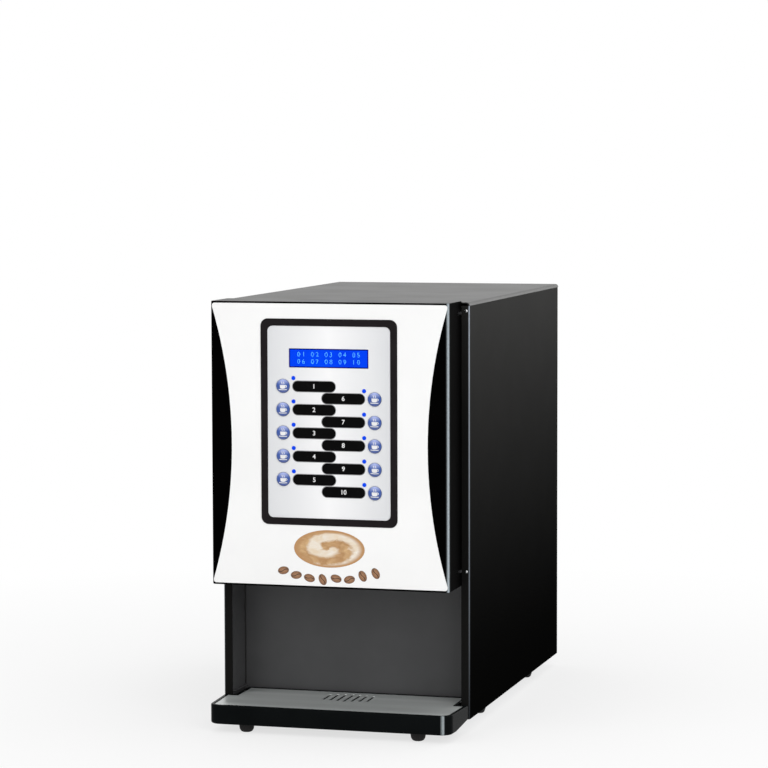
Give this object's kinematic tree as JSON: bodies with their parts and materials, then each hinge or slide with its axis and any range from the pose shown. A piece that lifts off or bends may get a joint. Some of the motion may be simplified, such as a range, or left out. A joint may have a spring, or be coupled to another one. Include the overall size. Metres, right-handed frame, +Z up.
{
  "type": "hot drink vending machine",
  "caption": "Countertop hot drink vending machine with a deep hinged door, a keypad and display, an open cup bay, a pull-out drip tray and powder works inside.",
  "frame": {"origin": "on the counter, below the middle of the machine's box", "axes": "+X right seen from the front, +Y to the back, +Z up"},
  "size_m": [0.305, 0.58, 0.51],
  "materials": {
    "black_paint": "satin powder coat",
    "grey_paint": "satin",
    "galvanised": "zinc-coated sheet",
    "zinc": "zinc plated",
    "stainless": "polished stainless",
    "rubber_black": "matte",
    "black_plastic": "moulded",
    "valve_plastic": "moulded",
    "element_brass": "plated",
    "motor_paint": "satin",
    "silicone": "translucent silicone",
    "door_plastic": "gloss moulding",
    "white_panel": "gloss sheet",
    "bezel_black": "satin",
    "silver_plate": "satin silver",
    "display_blue": "lit blue display",
    "label_black": "gloss",
    "led_blue": "clear blue lens",
    "board_green": "solder mask",
    "lock_chrome": "polished",
    "tray_plastic": "gloss moulding",
    "clear_plastic": "smoked clear moulding",
    "flap_plastic": "moulded",
    "auger_plastic": "moulded",
    "bowl_plastic": "moulded",
    "button_blue": "gloss cap"
  },
  "bodies": {
    "cabinet": {"base_pan": "galvanised", "left_side_panel": "black_paint", "right_side_panel": "black_paint", "rear_panel": "black_paint", "top_cover": "black_paint", "bay_liner": "grey_paint", "chassis_frame": "galvanised", "cabinet_feet": "rubber_black", "panel_screws": "zinc", "hinge_brackets": "zinc", "water_inlet_valve": "valve_plastic", "cord_gland": "black_plastic", "water_tank": "stainless", "heating_element": "element_brass", "dispense_valves": "black_plastic", "power_supply": "galvanised", "fan_housing": "black_plastic", "auger_motors": "motor_paint", "whipper_motors": "motor_paint", "silicone_hoses": "silicone", "nozzle_head": "black_plastic", "powder_canister_1": "clear_plastic", "mixing_bowl_1": "bowl_plastic", "powder_canister_2": "clear_plastic", "mixing_bowl_2": "bowl_plastic", "powder_canister_3": "clear_plastic", "mixing_bowl_3": "bowl_plastic"},
    "door": {"door_shell": "door_plastic", "door_liner": "galvanised", "graphic_panel": "white_panel", "keypad_bezel": "bezel_black", "keypad_plate": "silver_plate", "display_module": "display_blue", "label_strips": "label_black", "indicator_leds": "led_blue", "control_board": "board_green"},
    "door_lock": {"lock_barrel": "lock_chrome"},
    "drip_tray": {"drip_tray": "tray_plastic", "tray_feet": "rubber_black"},
    "tray_plate": {"tray_plate": "stainless"},
    "exhaust_fan": {"fan_rotor": "black_plastic"},
    "button_1": {"button_1": "button_blue"},
    "button_2": {"button_2": "button_blue"},
    "button_3": {"button_3": "button_blue"},
    "button_4": {"button_4": "button_blue"},
    "button_5": {"button_5": "button_blue"},
    "button_6": {"button_6": "button_blue"},
    "button_7": {"button_7": "button_blue"},
    "button_8": {"button_8": "button_blue"},
    "button_9": {"button_9": "button_blue"},
    "button_10": {"button_10": "button_blue"},
    "auger_1": {"auger_1": "auger_plastic"},
    "canister_flap_1": {"canister_flap_1": "flap_plastic"},
    "whipper_1": {"whipper_impeller_1": "black_plastic"},
    "auger_2": {"auger_2": "auger_plastic"},
    "canister_flap_2": {"canister_flap_2": "flap_plastic"},
    "whipper_2": {"whipper_impeller_2": "black_plastic"},
    "auger_3": {"auger_3": "auger_plastic"},
    "canister_flap_3": {"canister_flap_3": "flap_plastic"},
    "whipper_3": {"whipper_impeller_3": "black_plastic"}
  },
  "joints": [
    {"name": "door_hinge", "type": "hinge", "parent": "cabinet", "child": "door", "pos_m": [0.14, -0.223, 0.342], "axis": [0, 0, 1], "range_deg": [0, 100]},
    {"name": "lock_turn", "type": "hinge", "parent": "door", "child": "door_lock", "pos_m": [-0.14, -0.237, 0.30275], "axis": [-1, 0, 0], "range_deg": [0, 90]},
    {"name": "tray_pull", "type": "slide", "parent": "cabinet", "child": "drip_tray", "axis": [0, -1, 0], "range_m": [0, 0.13]},
    {"name": "plate_lift", "type": "slide", "parent": "drip_tray", "child": "tray_plate", "axis": [0, 0, 1], "range_m": [0, 0.09]},
    {"name": "fan_spin", "type": "hinge", "parent": "cabinet", "child": "exhaust_fan", "pos_m": [0, 0.2495, 0.448], "axis": [0, 1, 0], "continuous": true},
    {"name": "button_1_press", "type": "slide", "parent": "door", "child": "button_1", "axis": [0, 1, 0], "range_m": [0, 0.001], "stiffness_N_per_m": 400},
    {"name": "button_2_press", "type": "slide", "parent": "door", "child": "button_2", "axis": [0, 1, 0], "range_m": [0, 0.001], "stiffness_N_per_m": 400},
    {"name": "button_3_press", "type": "slide", "parent": "door", "child": "button_3", "axis": [0, 1, 0], "range_m": [0, 0.001], "stiffness_N_per_m": 400},
    {"name": "button_4_press", "type": "slide", "parent": "door", "child": "button_4", "axis": [0, 1, 0], "range_m": [0, 0.001], "stiffness_N_per_m": 400},
    {"name": "button_5_press", "type": "slide", "parent": "door", "child": "button_5", "axis": [0, 1, 0], "range_m": [0, 0.001], "stiffness_N_per_m": 400},
    {"name": "button_6_press", "type": "slide", "parent": "door", "child": "button_6", "axis": [0, 1, 0], "range_m": [0, 0.001], "stiffness_N_per_m": 400},
    {"name": "button_7_press", "type": "slide", "parent": "door", "child": "button_7", "axis": [0, 1, 0], "range_m": [0, 0.001], "stiffness_N_per_m": 400},
    {"name": "button_8_press", "type": "slide", "parent": "door", "child": "button_8", "axis": [0, 1, 0], "range_m": [0, 0.001], "stiffness_N_per_m": 400},
    {"name": "button_9_press", "type": "slide", "parent": "door", "child": "button_9", "axis": [0, 1, 0], "range_m": [0, 0.001], "stiffness_N_per_m": 400},
    {"name": "button_10_press", "type": "slide", "parent": "door", "child": "button_10", "axis": [0, 1, 0], "range_m": [0, 0.001], "stiffness_N_per_m": 400},
    {"name": "auger_1_spin", "type": "hinge", "parent": "cabinet", "child": "auger_1", "pos_m": [-0.094, -0.0955, 0.31], "axis": [0, 1, 0], "continuous": true},
    {"name": "whipper_1_spin", "type": "hinge", "parent": "cabinet", "child": "whipper_1", "pos_m": [-0.094, -0.1255, 0.236], "axis": [0, 1, 0], "continuous": true},
    {"name": "flap_1_lift", "type": "hinge", "parent": "cabinet", "child": "canister_flap_1", "pos_m": [-0.094, -0.0875, 0.4312], "axis": [-1, 0, 0], "range_deg": [0, 90]},
    {"name": "auger_2_spin", "type": "hinge", "parent": "cabinet", "child": "auger_2", "pos_m": [0, -0.0955, 0.31], "axis": [0, 1, 0], "continuous": true},
    {"name": "whipper_2_spin", "type": "hinge", "parent": "cabinet", "child": "whipper_2", "pos_m": [0, -0.1255, 0.236], "axis": [0, 1, 0], "continuous": true},
    {"name": "flap_2_lift", "type": "hinge", "parent": "cabinet", "child": "canister_flap_2", "pos_m": [0, -0.0875, 0.4312], "axis": [-1, 0, 0], "range_deg": [0, 90]},
    {"name": "auger_3_spin", "type": "hinge", "parent": "cabinet", "child": "auger_3", "pos_m": [0.094, -0.0955, 0.31], "axis": [0, 1, 0], "continuous": true},
    {"name": "whipper_3_spin", "type": "hinge", "parent": "cabinet", "child": "whipper_3", "pos_m": [0.094, -0.1255, 0.236], "axis": [0, 1, 0], "continuous": true},
    {"name": "flap_3_lift", "type": "hinge", "parent": "cabinet", "child": "canister_flap_3", "pos_m": [0.094, -0.0875, 0.4312], "axis": [-1, 0, 0], "range_deg": [0, 90]}
  ]
}
